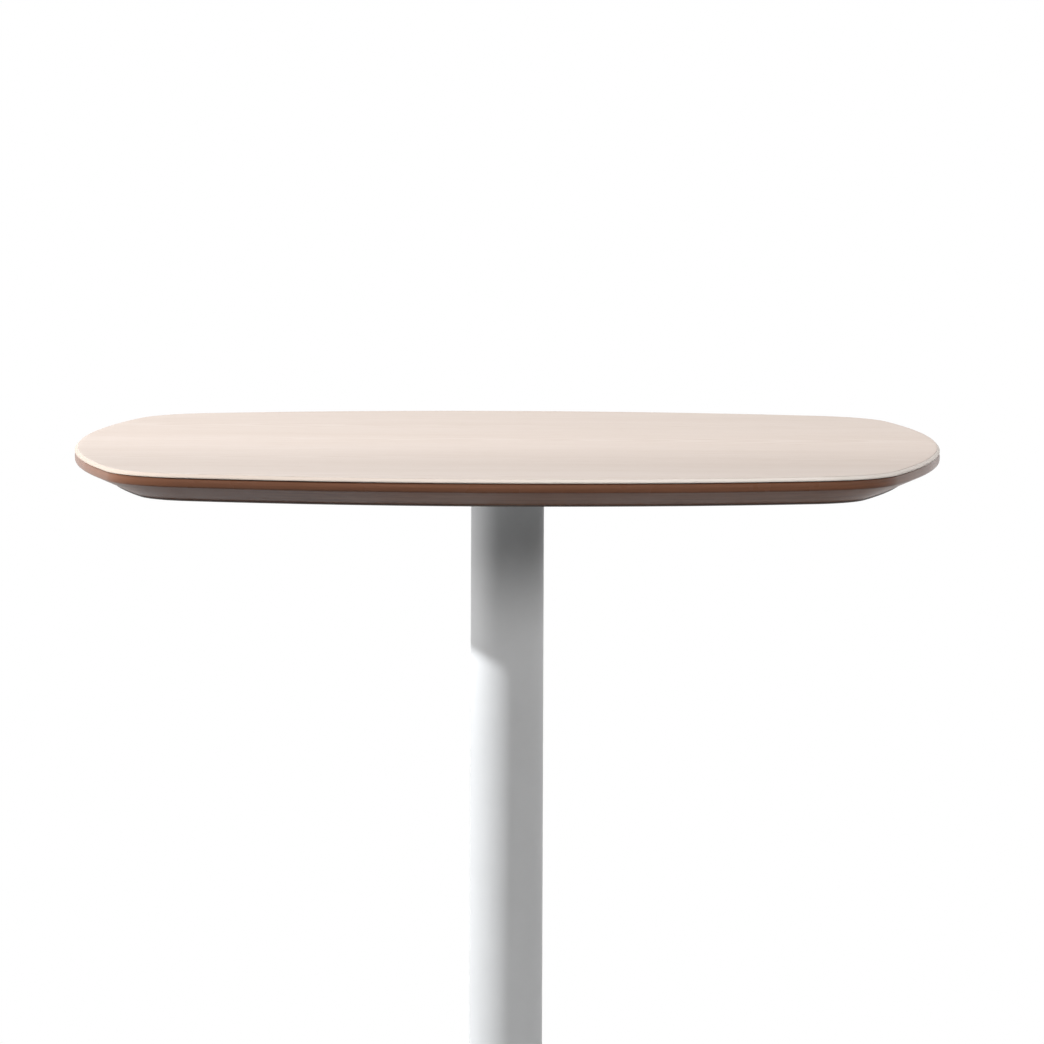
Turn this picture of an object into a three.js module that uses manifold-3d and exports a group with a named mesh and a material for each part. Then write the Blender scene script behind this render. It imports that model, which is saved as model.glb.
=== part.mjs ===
// Standing meeting table: a veneered top with an undercut edge on a round column and a disc base.
// Millimetres, +Z up. The origin is on the floor under the middle of the column.

import * as THREE from 'three';
import { mergeVertices } from 'three/addons/utils/BufferGeometryUtils.js';
import loadManifold from 'manifold-3d';

const wasm = await loadManifold();
wasm.setup();

// Driving dimensions of the table top
const TABLE_HEIGHT = 1050;
const TOP_WIDTH = 900;
const SIDE_RADIUS = 1130;
const CORNER_RADIUS = 112;
const TOP_THICKNESS = 30.6;
const VENEER_THICKNESS = 3.4;
const VENEER_ARRIS = 0.8;
const EDGE_DEPTH = 13.1;
const BEVEL_INSET = 35.6;
const BACKING_THICKNESS = 1.6;
const GLUE_LINE = 0.2;

// Driving dimensions of the column and of what clamps it
const COLUMN_RADIUS = 38;
const COLUMN_WALL = 2;
const PLATE_WIDTH = 340;
const PLATE_CORNER = 45;
const PLATE_THICKNESS = 5;
const HUB_RADIUS = 46;
const HUB_HEIGHT = 24;
const SPIGOT_LENGTH = 16;
const NUT_POCKET_RADIUS = 18;
const NUT_POCKET_DEPTH = 17;
const ROD_RADIUS = 6;
const ROD_END = 2.5;
const NUT_FLATS = 18;
const NUT_HEIGHT = 10;
const UPPER_WASHER = { radius: 14, height: 2.5 };
const LOWER_WASHER = { radius: 30, height: 5 };
const PLUG_LENGTH = 20;
const COLLAR_WIDTH = 9;
const COLLAR_HEIGHT = 8;

// Driving dimensions of the base
const BASE_RADIUS = 340;
const DISH_WALL = 3.5;
const SKIRT_BOTTOM = 6;
const RIM_HEIGHT = 25.5;
const RIM_FILLET = 9;
const DISH_SLOPE = 0.085;
const DISH_FLAT_RADIUS = 54;
const DISH_FLAT_FILLET = 18;
const BALLAST_RADIUS = 326;
const BALLAST_BORE = 45;
const BALLAST_BOTTOM = 9.7;
const BALLAST_THICKNESS = 12;
const BOSS_RADIUS = 10;
const BOSS_CIRCLE = 150;
const GLIDE_CIRCLE = 262;

// Driving dimensions of the screws, inserts and feet
const SCREW = { radius: 3, length: 19, headRadius: 5.6, headHeight: 3.3 };
const SCREW_SOCKET = { flats: 4, depth: 2 };
const SCREW_CORNER = 138;
const SCREW_SIDE = 145;
const INSERT = { radius: 4.7, length: 13 };
const BALLAST_SCREW = { radius: 4, length: 24, headRadius: 8, headHeight: 4.4 };
const BALLAST_SCREW_SOCKET = { flats: 5, depth: 3 };
const PAD = { radius: 22, height: 5, rimHeight: 2.6, crownRadius: 9.5, mouthRadius: 6.2 };
const PAD_SOCKET = { radius: 8, floor: 1.4, roof: 3.9 };
const STEM = { radius: 4.7, top: 27.5, hexFlats: 14, hexBottom: 5.3, hexTop: 9.3 };
const STEM_FOOT = { radius: 7.7, bottom: 1.7, top: 3.6, neckRadius: 5.8 };

const GAP = 0.3;
const FINE = 48;
const ROUND = 20;
const SMALL = 12;
const SIDE_STEPS = 12;
const CORNER_STEPS = 8;

// Heights worked out from the driving dimensions
const undersideZ = TABLE_HEIGHT - TOP_THICKNESS;
const coreBottomZ = undersideZ + BACKING_THICKNESS;
const bevelTopZ = TABLE_HEIGHT - EDGE_DEPTH;
const coreTopZ = TABLE_HEIGHT - VENEER_THICKNESS - GLUE_LINE;
const plateTopZ = undersideZ - GLUE_LINE;
const plateBottomZ = plateTopZ - PLATE_THICKNESS;
const hubBottomZ = plateTopZ - HUB_HEIGHT;
const pocketFloorZ = plateTopZ - NUT_POCKET_DEPTH;
const spigotRadius = COLUMN_RADIUS - COLUMN_WALL - GAP;
const rodHole = ROD_RADIUS + GAP;
const coneRadius = BASE_RADIUS - RIM_FILLET;
const dishFlatZ = RIM_HEIGHT + DISH_SLOPE * (coneRadius - DISH_FLAT_RADIUS);
const columnBottomZ = dishFlatZ + GAP;
const columnTopZ = hubBottomZ - GAP;
const ballastTopZ = BALLAST_BOTTOM + BALLAST_THICKNESS;

const FINISHES = {
  veneer: { color: 0xe3d3c6, roughness: 0.55, metalness: 0 },
  edgeLacquer: { color: 0x68483a, roughness: 0.4, metalness: 0 },
  backing: { color: 0x3a302d, roughness: 0.6, metalness: 0 },
  powderCoat: { color: 0xe6e7ea, roughness: 0.45, metalness: 0 },
  zincSteel: { color: 0xb4b7ba, roughness: 0.35, metalness: 1 },
  brass: { color: 0xc0a05c, roughness: 0.35, metalness: 1 },
  castIron: { color: 0x34363a, roughness: 0.7, metalness: 0.3 },
  whiteNylon: { color: 0xdddcd8, roughness: 0.5, metalness: 0 },
  blackNylon: { color: 0x26272a, roughness: 0.55, metalness: 0 },
};

const table = new THREE.Group();

function addPart(name, finish, geometry, x = 0, y = 0, z = 0) {
  const mesh = new THREE.Mesh(geometry, new THREE.MeshStandardMaterial(FINISHES[finish]));
  mesh.name = name;
  mesh.position.set(x, y, z);
  table.add(mesh);
}

// Solids for cutting and joining

function toSolid(geometry) {
  const bare = geometry.clone();
  bare.deleteAttribute('normal');
  bare.deleteAttribute('uv');
  const merged = mergeVertices(bare, 1e-4);
  const triangles = [];
  for (let i = 0; i < merged.index.count; i += 3) {
    const [a, b, c] = merged.index.array.slice(i, i + 3);
    if (a !== b && b !== c && c !== a) triangles.push(a, b, c);
  }
  const mesh = new wasm.Mesh({
    numProp: 3,
    vertProperties: new Float32Array(merged.attributes.position.array),
    triVerts: new Uint32Array(triangles),
  });
  return new wasm.Manifold(mesh);
}

function toGeometry(solid) {
  const mesh = solid.getMesh();
  const geometry = new THREE.BufferGeometry();
  geometry.setAttribute('position', new THREE.BufferAttribute(mesh.vertProperties, mesh.numProp));
  geometry.setIndex(new THREE.BufferAttribute(mesh.triVerts, 1));
  geometry.computeVertexNormals();
  return geometry;
}

function cut(geometry, tools) {
  return toGeometry(tools.reduce((solid, tool) => solid.subtract(toSolid(tool)), toSolid(geometry)));
}

function join(geometries) {
  const [first, ...others] = geometries.map(toSolid);
  return toGeometry(others.reduce((solid, other) => solid.add(other), first));
}

// Basic forms, all standing along Z

function lathe(profile, segments) {
  const points = profile.map(([radius, z]) => new THREE.Vector2(radius, z));
  return new THREE.LatheGeometry(points, segments).rotateX(Math.PI / 2);
}

function cylinder(radius, bottom, top, segments) {
  const form = new THREE.CylinderGeometry(radius, radius, top - bottom, segments);
  return form.rotateX(Math.PI / 2).translate(0, 0, (bottom + top) / 2);
}

function hexagon(flats, bottom, top) {
  return cylinder(flats / Math.sqrt(3), bottom, top, 6);
}

function ring(inner, outer, bottom, top, segments) {
  return lathe([[inner, bottom], [outer, bottom], [outer, top], [inner, top], [inner, bottom]], segments);
}

function arc(x, y, radius, start, end, steps) {
  return new THREE.EllipseCurve(x, y, radius, radius, start, end).getPoints(steps);
}

function around(count, radius, firstAngle) {
  return Array.from({ length: count }, (_, i) => {
    const angle = firstAngle + (i * 2 * Math.PI) / count;
    return [radius * Math.cos(angle), radius * Math.sin(angle)];
  });
}

function repeat(places, makeForm) {
  return places.map(([x, y]) => makeForm().translate(x, y, 0));
}

function drills(places, radius, bottom, top) {
  return repeat(places, () => cylinder(radius, bottom, top, SMALL));
}

// Table top: four bowed sides that run into round corners

function topOutline(inset) {
  const sideCentre = SIDE_RADIUS - TOP_WIDTH / 2;
  const inner = SIDE_RADIUS - CORNER_RADIUS;
  const cornerCentre = (Math.sqrt(2 * inner ** 2 - sideCentre ** 2) - sideCentre) / 2;
  const swing = Math.atan2(cornerCentre, cornerCentre + sideCentre);
  const points = [];
  for (let side = 0; side < 4; side += 1) {
    const facing = (side * Math.PI) / 2;
    const diagonal = facing + Math.PI / 4;
    const sideX = -sideCentre * Math.cos(facing);
    const sideY = -sideCentre * Math.sin(facing);
    const cornerX = cornerCentre * Math.SQRT2 * Math.cos(diagonal);
    const cornerY = cornerCentre * Math.SQRT2 * Math.sin(diagonal);
    const cornerEnd = facing + Math.PI / 2 - swing;
    const sideArc = arc(sideX, sideY, SIDE_RADIUS - inset, facing - swing, facing + swing, SIDE_STEPS);
    const cornerArc = arc(cornerX, cornerY, CORNER_RADIUS - inset, facing + swing, cornerEnd, CORNER_STEPS);
    points.push(...sideArc.slice(1), ...cornerArc.slice(1));
  }
  return new THREE.Shape(points);
}

function board(thickness, chamferHeight, chamferInset) {
  return new THREE.ExtrudeGeometry(topOutline(0), {
    depth: thickness - 2 * chamferHeight,
    bevelThickness: chamferHeight,
    bevelSize: chamferInset,
    bevelOffset: -chamferInset,
    bevelSegments: 1,
  }).translate(0, 0, chamferHeight);
}

const corners = around(4, SCREW_CORNER * Math.SQRT2, Math.PI / 4);
const screwPlaces = [...corners, ...around(4, SCREW_SIDE, 0)];

function coreBoard() {
  const bevelHeight = bevelTopZ - coreBottomZ;
  const height = coreTopZ - coreBottomZ;
  const blank = board(height + bevelHeight, bevelHeight, BEVEL_INSET);
  const waste = new THREE.BoxGeometry(2 * TOP_WIDTH, 2 * TOP_WIDTH, 2 * bevelHeight);
  waste.translate(0, 0, height + bevelHeight);
  return cut(blank, [waste, ...drills(screwPlaces, INSERT.radius + GAP, -1, INSERT.length + 2 * GAP)]);
}

function backingSheet() {
  const depth = BACKING_THICKNESS - GLUE_LINE;
  const sheet = new THREE.ExtrudeGeometry(topOutline(BEVEL_INSET), { depth, bevelEnabled: false });
  return cut(sheet, drills(screwPlaces, SCREW.radius + GAP, -1, depth + 1));
}

const veneer = board(VENEER_THICKNESS, VENEER_ARRIS, VENEER_ARRIS);
addPart('top_veneer', 'veneer', veneer, 0, 0, coreTopZ + GLUE_LINE);
addPart('top_core', 'edgeLacquer', coreBoard(), 0, 0, coreBottomZ);
addPart('top_backing', 'backing', backingSheet(), 0, 0, undersideZ);

// Screws and inserts that hold the mounting plate to the top

function roundHeadScrew() {
  const { radius, length, headRadius, headHeight } = SCREW;
  const body = lathe([
    [0, -headHeight],
    [0.6 * headRadius, -headHeight],
    [0.9 * headRadius, -0.6 * headHeight],
    [headRadius, -0.15 * headHeight],
    [headRadius, 0],
    [radius, 0],
    [radius, length - radius / 2],
    [radius / 2, length],
    [0, length],
  ], SMALL);
  return cut(body, [hexagon(SCREW_SOCKET.flats, -2 * headHeight, SCREW_SOCKET.depth - headHeight)]);
}

screwPlaces.forEach(([x, y], i) => {
  const insert = ring(SCREW.radius + GAP, INSERT.radius, 0, INSERT.length, SMALL);
  addPart(`plate_screw_${i + 1}`, 'zincSteel', roundHeadScrew(), x, y, plateBottomZ - GAP);
  addPart(`threaded_insert_${i + 1}`, 'brass', insert, x, y, coreBottomZ + GAP);
});

// Mounting plate with its hub, spigot and nut pocket

function plateOutline() {
  const middle = PLATE_WIDTH / 2 - PLATE_CORNER;
  const points = around(4, middle * Math.SQRT2, Math.PI / 4).flatMap(([x, y], i) => {
    const start = (i * Math.PI) / 2;
    return arc(x, y, PLATE_CORNER, start, start + Math.PI / 2, CORNER_STEPS);
  });
  return new THREE.Shape(points);
}

function mountingPlate() {
  const plate = new THREE.ExtrudeGeometry(plateOutline(), { depth: PLATE_THICKNESS, bevelEnabled: false });
  const hubTop = PLATE_THICKNESS / 2;
  const hubBottom = PLATE_THICKNESS - HUB_HEIGHT;
  const hub = cylinder(HUB_RADIUS, hubBottom, hubTop, FINE);
  const spigot = cylinder(spigotRadius, hubBottom - SPIGOT_LENGTH, hubTop, FINE);
  const pocketFloor = PLATE_THICKNESS - NUT_POCKET_DEPTH;
  const pocket = cylinder(NUT_POCKET_RADIUS, pocketFloor, 2 * PLATE_THICKNESS, ROUND);
  const bore = cylinder(rodHole, hubBottom - 2 * SPIGOT_LENGTH, PLATE_THICKNESS, ROUND);
  const holes = drills(screwPlaces, SCREW.radius + GAP, -PLATE_THICKNESS, 2 * PLATE_THICKNESS);
  return cut(join([plate, hub, spigot]), [pocket, bore, ...holes]);
}

addPart('mounting_plate', 'powderCoat', mountingPlate(), 0, 0, plateBottomZ);

// Column, with the rod, nuts and washers that clamp it between the plate and the base

const tube = ring(COLUMN_RADIUS - COLUMN_WALL, COLUMN_RADIUS, columnBottomZ, columnTopZ, FINE);
addPart('column_tube', 'powderCoat', tube);

const lowerWasherZ = dishFlatZ - DISH_WALL - GAP - LOWER_WASHER.height;
const lowerNutZ = lowerWasherZ - GAP - NUT_HEIGHT;
const upperWasherZ = pocketFloorZ + GAP;
const upperNutZ = upperWasherZ + UPPER_WASHER.height + GAP;
const rodTopZ = upperNutZ + NUT_HEIGHT + ROD_END;

function nut() {
  return cut(hexagon(NUT_FLATS, 0, NUT_HEIGHT), [cylinder(rodHole, -1, NUT_HEIGHT + 1, ROUND)]);
}

function washer({ radius, height }) {
  return ring(rodHole, radius, 0, height, ROUND);
}

addPart('tie_rod', 'zincSteel', cylinder(ROD_RADIUS, lowerNutZ - ROD_END, rodTopZ, ROUND));
addPart('upper_washer', 'zincSteel', washer(UPPER_WASHER), 0, 0, upperWasherZ);
addPart('upper_nut', 'zincSteel', nut(), 0, 0, upperNutZ);
addPart('lower_washer', 'zincSteel', washer(LOWER_WASHER), 0, 0, lowerWasherZ);
addPart('lower_nut', 'zincSteel', nut(), 0, 0, lowerNutZ);

const plug = ring(rodHole, spigotRadius, columnBottomZ, columnBottomZ + PLUG_LENGTH, FINE);
addPart('column_plug', 'zincSteel', plug);

function collar() {
  const inner = COLUMN_RADIUS + GAP;
  const outer = inner + COLLAR_WIDTH;
  const bottom = columnBottomZ;
  const top = bottom + COLLAR_HEIGHT;
  const crown = new THREE.QuadraticBezierCurve(
    new THREE.Vector2(outer, bottom + 0.2 * COLLAR_HEIGHT),
    new THREE.Vector2(outer, top),
    new THREE.Vector2(inner + 1, top),
  );
  const rounded = crown.getPoints(4).map((point) => [point.x, point.y]);
  return lathe([[inner, bottom], [outer, bottom], ...rounded, [inner, top], [inner, bottom]], FINE);
}

addPart('foot_collar', 'whiteNylon', collar());

// Base: a spun dish on a ballast ring

function dishSurface(drop) {
  const cone = (radius) => RIM_HEIGHT + DISH_SLOPE * (coneRadius - radius) - drop;
  const skirt = BASE_RADIUS - drop;
  const rim = new THREE.QuadraticBezierCurve(
    new THREE.Vector2(skirt, cone(skirt) - RIM_FILLET),
    new THREE.Vector2(skirt, cone(skirt)),
    new THREE.Vector2(skirt - RIM_FILLET, cone(skirt - RIM_FILLET)),
  );
  const shoulder = new THREE.QuadraticBezierCurve(
    new THREE.Vector2(DISH_FLAT_RADIUS + DISH_FLAT_FILLET, cone(DISH_FLAT_RADIUS + DISH_FLAT_FILLET)),
    new THREE.Vector2(DISH_FLAT_RADIUS, cone(DISH_FLAT_RADIUS)),
    new THREE.Vector2(DISH_FLAT_RADIUS - DISH_FLAT_FILLET, cone(DISH_FLAT_RADIUS)),
  );
  const curve = [...rim.getPoints(4), ...shoulder.getPoints(3)].map((point) => [point.x, point.y]);
  return [[skirt, SKIRT_BOTTOM], ...curve, [rodHole, cone(DISH_FLAT_RADIUS)]];
}

function dishUndersideZ(radius) {
  return RIM_HEIGHT + DISH_SLOPE * (coneRadius - radius) - DISH_WALL;
}

const bossPlaces = around(4, BOSS_CIRCLE, 0);

function baseDish() {
  const outside = dishSurface(0);
  const inside = dishSurface(DISH_WALL).reverse();
  const shell = lathe([...outside, ...inside, outside[0]], FINE);
  const bossBottom = ballastTopZ + GAP;
  const bossTop = dishUndersideZ(BOSS_CIRCLE) + DISH_WALL / 2;
  const bosses = repeat(bossPlaces, () => cylinder(BOSS_RADIUS, bossBottom, bossTop, ROUND));
  const tapTop = BALLAST_BOTTOM + BALLAST_SCREW.length + 1;
  return cut(join([shell, ...bosses]), drills(bossPlaces, BALLAST_SCREW.radius + GAP, 0, tapTop));
}

addPart('base_dish', 'powderCoat', baseDish());

function countersunkForm(clearance, bottom, top) {
  const { radius, headRadius, headHeight } = BALLAST_SCREW;
  const slope = (headRadius - radius) / headHeight;
  const rim = headRadius + clearance - slope * bottom;
  const shank = radius + clearance;
  return lathe([[0, bottom], [rim, bottom], [shank, headHeight], [shank, top], [0, top]], ROUND);
}

const glidePlaces = around(4, GLIDE_CIRCLE, Math.PI / 4);

function ballastRing() {
  const disc = ring(BALLAST_BORE, BALLAST_RADIUS, 0, BALLAST_THICKNESS, FINE);
  const screwHoles = repeat(bossPlaces, () => countersunkForm(GAP, -1, 2 * BALLAST_THICKNESS));
  return cut(disc, [...screwHoles, ...drills(glidePlaces, STEM.radius + GAP, -1, BALLAST_THICKNESS + 1)]);
}

addPart('ballast_ring', 'castIron', ballastRing(), 0, 0, BALLAST_BOTTOM);

bossPlaces.forEach(([x, y], i) => {
  const socket = hexagon(BALLAST_SCREW_SOCKET.flats, -1, BALLAST_SCREW_SOCKET.depth);
  const screw = cut(countersunkForm(0, 0, BALLAST_SCREW.length), [socket]);
  addPart(`ballast_screw_${i + 1}`, 'zincSteel', screw, x, y, BALLAST_BOTTOM);
});

// Levelling feet: a pad that stands on the floor and a stem that turns in it

function glidePad() {
  const { radius, height, rimHeight, crownRadius, mouthRadius } = PAD;
  const edge = 0.8;
  return lathe([
    [0, 0],
    [radius - edge, 0],
    [radius, edge],
    [radius, rimHeight],
    [crownRadius, height],
    [mouthRadius, height],
    [mouthRadius, PAD_SOCKET.roof],
    [PAD_SOCKET.radius, PAD_SOCKET.roof],
    [PAD_SOCKET.radius, PAD_SOCKET.floor],
    [0, PAD_SOCKET.floor],
  ], ROUND);
}

function glideStem() {
  const { radius, top, hexFlats, hexBottom, hexTop } = STEM;
  const turned = lathe([
    [0, STEM_FOOT.bottom],
    [STEM_FOOT.radius, STEM_FOOT.bottom],
    [STEM_FOOT.radius, STEM_FOOT.top],
    [STEM_FOOT.neckRadius, STEM_FOOT.top],
    [STEM_FOOT.neckRadius, (hexBottom + hexTop) / 2],
    [radius, (hexBottom + hexTop) / 2],
    [radius, top - 1],
    [radius - 1, top],
    [0, top],
  ], SMALL);
  return join([turned, hexagon(hexFlats, hexBottom, hexTop)]);
}

glidePlaces.forEach(([x, y], i) => {
  addPart(`glide_pad_${i + 1}`, 'blackNylon', glidePad(), x, y);
  addPart(`glide_stem_${i + 1}`, 'zincSteel', glideStem(), x, y);
});

export default table;
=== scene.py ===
# Standing meeting table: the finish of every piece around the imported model, in metres
import math

import bmesh
import bpy
from mathutils import Euler, Matrix, Vector


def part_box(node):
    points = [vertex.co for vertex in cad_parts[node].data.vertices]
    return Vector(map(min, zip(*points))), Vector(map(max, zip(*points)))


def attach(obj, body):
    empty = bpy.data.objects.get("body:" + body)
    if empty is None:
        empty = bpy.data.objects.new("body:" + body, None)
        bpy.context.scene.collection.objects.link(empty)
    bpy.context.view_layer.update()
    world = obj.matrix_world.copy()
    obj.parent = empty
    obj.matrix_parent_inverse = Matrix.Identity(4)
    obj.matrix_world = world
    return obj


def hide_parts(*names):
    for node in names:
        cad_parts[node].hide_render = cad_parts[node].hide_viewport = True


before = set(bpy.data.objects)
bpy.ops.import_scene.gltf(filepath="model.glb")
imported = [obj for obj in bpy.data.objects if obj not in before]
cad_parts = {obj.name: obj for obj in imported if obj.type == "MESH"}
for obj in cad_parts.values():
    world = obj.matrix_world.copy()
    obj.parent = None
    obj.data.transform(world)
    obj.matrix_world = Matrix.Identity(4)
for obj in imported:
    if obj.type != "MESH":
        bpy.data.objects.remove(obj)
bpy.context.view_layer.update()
scene = bpy.context.scene
print("frame loaded:", len(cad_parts), "nodes")


# shader helpers

def addNode(tree, kind, **settings):
    node = tree.nodes.new(kind)
    for name, value in settings.items():
        setattr(node, name, value)
    return node


def feed(tree, socket, value):  # a link if value is a socket, else a constant
    if isinstance(value, bpy.types.NodeSocket):
        tree.links.new(value, socket)
    else:
        socket.default_value = value


def mathNode(tree, operation, first, second=0.0, third=0.0):
    node = addNode(tree, "ShaderNodeMath", operation=operation)
    for socket, value in zip(node.inputs, (first, second, third)):
        feed(tree, socket, value)
    return node.outputs[0]


def times(tree, first, second):
    return mathNode(tree, "MULTIPLY", first, second)


def addUp(tree, *values):
    total = values[0]
    for value in values[1:]:
        total = mathNode(tree, "ADD", total, value)
    return total


def mixColors(tree, factor, first, second):  # 6, 7 and 2 are the node's color sockets
    node = addNode(tree, "ShaderNodeMix", data_type="RGBA")
    feed(tree, node.inputs[0], factor)
    feed(tree, node.inputs[6], first)
    feed(tree, node.inputs[7], second)
    return node.outputs[2]


def mixShaders(tree, factor, first, second):
    node = addNode(tree, "ShaderNodeMixShader")
    for socket, value in zip(node.inputs, (factor, first, second)):
        tree.links.new(value, socket)
    return node.outputs[0]


def remap(tree, value, fromLow, fromHigh, toLow=0.0, toHigh=1.0, smooth=False):
    node = addNode(tree, "ShaderNodeMapRange", interpolation_type="SMOOTHSTEP" if smooth else "LINEAR")
    for socket, item in zip(node.inputs, (value, fromLow, fromHigh, toLow, toHigh)):
        feed(tree, socket, item)
    return node.outputs[0]


noiseSpan = (0.3, 0.7)  # most of a noise's values lie between these


def noise(tree, vector, scale=1.0, *, detail, roughness=0.5):
    node = addNode(tree, "ShaderNodeTexNoise")
    for name, value in (("Vector", vector), ("Scale", scale), ("Detail", detail), ("Roughness", roughness)):
        feed(tree, node.inputs[name], value)
    return node.outputs["Fac"]


def stretch(tree, vector, scale):
    node = addNode(tree, "ShaderNodeMapping")
    feed(tree, node.inputs["Vector"], vector)
    node.inputs["Scale"].default_value = scale
    return node.outputs[0]


def splitAxes(tree, vector):
    node = addNode(tree, "ShaderNodeSeparateXYZ")
    feed(tree, node.inputs[0], vector)
    return node.outputs


def grey(level):
    return (level, level, level, 1.0)


def newGroup(name, values, results):  # takes a vector and values with their defaults
    group = bpy.data.node_groups.new(name, "ShaderNodeTree")
    group.interface.new_socket("Vector", in_out="INPUT", socket_type="NodeSocketVector")
    for label, value in values.items():
        socket = group.interface.new_socket(label, in_out="INPUT", socket_type="NodeSocketFloat")
        socket.default_value = value
    for label in results:
        group.interface.new_socket(label, in_out="OUTPUT", socket_type="NodeSocketFloat")
    return group, addNode(group, "NodeGroupInput").outputs, addNode(group, "NodeGroupOutput").inputs


# surface grit: fine tooth of a coat or moulding, with a slow drift in tone
gritLook = {"fleckScale": 0.35, "fleckRange": (0.66, 0.74)}


def makeGritGroup():
    look = gritLook
    values = {"Size": 900.0, "Patch": 9.0}
    group, given, result = newGroup("surfaceGrit", values, ["Height", "Drift", "Speck"])
    tooth = noise(group, given["Vector"], given["Size"], detail=3.0, roughness=0.55)
    drift = noise(group, given["Vector"], given["Patch"], detail=4.0, roughness=0.6)
    fleckSize = times(group, given["Size"], look["fleckScale"])
    fleck = noise(group, given["Vector"], fleckSize, detail=1.0)
    group.links.new(tooth, result["Height"])
    group.links.new(remap(group, drift, *noiseSpan, smooth=True), result["Drift"])
    group.links.new(remap(group, fleck, *look["fleckRange"], smooth=True), result["Speck"])
    return group


# long thin streaks along X, for fibres, brushing and drawn lines
streakLook = {"dashStretch": (4.5, 2.2, 2.2), "streakRange": (0.28, 0.72), "dashRange": (0.62, 0.72)}


def makeStreakGroup():
    look = streakLook
    values = {"Length": 6.0, "Fineness": 300.0}
    group, given, result = newGroup("longStreaks", values, ["Streak", "Dash"])
    parts = splitAxes(group, given["Vector"])
    joined = addNode(group, "ShaderNodeCombineXYZ")
    for axis, repeat in enumerate(("Length", "Fineness", "Fineness")):
        feed(group, joined.inputs[axis], times(group, parts[axis], given[repeat]))
    streak = noise(group, joined.outputs[0], detail=4.0, roughness=0.62)
    dash = noise(group, stretch(group, joined.outputs[0], look["dashStretch"]), detail=1.5)
    group.links.new(remap(group, streak, *look["streakRange"]), result["Streak"])
    group.links.new(remap(group, dash, *look["dashRange"], smooth=True), result["Dash"])
    return group


gritGroup = makeGritGroup()
streakGroup = makeStreakGroup()


def placeGroup(tree, group, vector, **values):
    node = addNode(tree, "ShaderNodeGroup", node_tree=group)
    feed(tree, node.inputs["Vector"], vector)
    for name, value in values.items():
        node.inputs[name].default_value = value
    return node.outputs


def newMaterial(name, **constants):  # constants go straight onto the shader's own sockets
    material = bpy.data.materials.new(name)
    material.use_nodes = True
    tree = material.node_tree
    shader = tree.nodes["Principled BSDF"]
    for label, value in constants.items():
        shader.inputs[label.replace("_", " ")].default_value = value
    coords = addNode(tree, "ShaderNodeTexCoord").outputs["Object"]
    return material, tree, shader, coords


def addBump(tree, shader, height, strength, distance):
    bump = addNode(tree, "ShaderNodeBump")
    bump.inputs["Strength"].default_value = strength
    bump.inputs["Distance"].default_value = distance
    tree.links.new(height, bump.inputs["Height"])
    tree.links.new(bump.outputs["Normal"], shader.inputs["Normal"])


# veneer: crown-cut leaves laid side by side, with fibres and pores along X
veneerLook = {
    "leafWidth": 0.224,
    "leafShift": 0.37,        # where the joints lie, in leaf widths
    "ringSpacing": 0.0085,
    "heartDepth": 0.020,      # depth of the cut over the heart of the trunk
    "heartShift": 0.03,       # how far a leaf's heart may lie from its middle
    "startShift": 0.5,        # how far a leaf may be moved along the trunk
    "taper": 0.085,
    "wanderStretch": (2.2, 9.0, 1.0),
    "wobble": 0.075,
    "lateWoodRise": (0.15, 0.86),
    "lateWoodEnd": (1.0, 0.9),
    "fibreLength": 7.0,
    "fibreFineness": 420.0,
    "broadStretch": (1.6, 14.0, 1.0),
    "pale": (0.703, 0.611, 0.552, 1.0),
    "tan": (0.613, 0.506, 0.437, 1.0),
    "lateWoodTone": 0.34,     # what each effect adds to the tone, from pale to tan
    "fibreTone": 0.26,
    "broadTone": (-0.06, 0.3),
    "leafTone": (-0.05, 0.09),
    "pore": (0.455, 0.330, 0.240, 1.0),
    "poreShare": 0.22,
    "latePoreShare": 0.3,
    # colour of the painted shade towards the front of the top
    "shade": (0.050, 0.045, 0.045, 1.0),
    "frontPaintedShadeFrom": 0.06,        # painted shade: the top darkens towards the front
    "frontPaintedShadeTo": -0.32,
    "frontPaintedShade": 0.20,
    # the lip's pale cut edge, made paler still as a painted highlight
    "lipWithPaintedHighlight": (0.940, 0.862, 0.790, 1.0),
    # painted shade at the lip's left end
    "lipEndPaintedShade": (0.600, 0.500, 0.425, 1.0),
    "lipSpan": (0.95, -0.97),  # painted shade on the lip grows from the right to the left end, in half widths
    "lipStart": (0.0002, 0.0006),  # below the surface
    "lipShare": 0.9,
    "roughness": (0.66, 0.76),
    "specular": 0.42,
    "fibreRelief": 0.35,
    "bump": 0.12,
    "bumpDepth": 0.0002,
}


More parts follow.
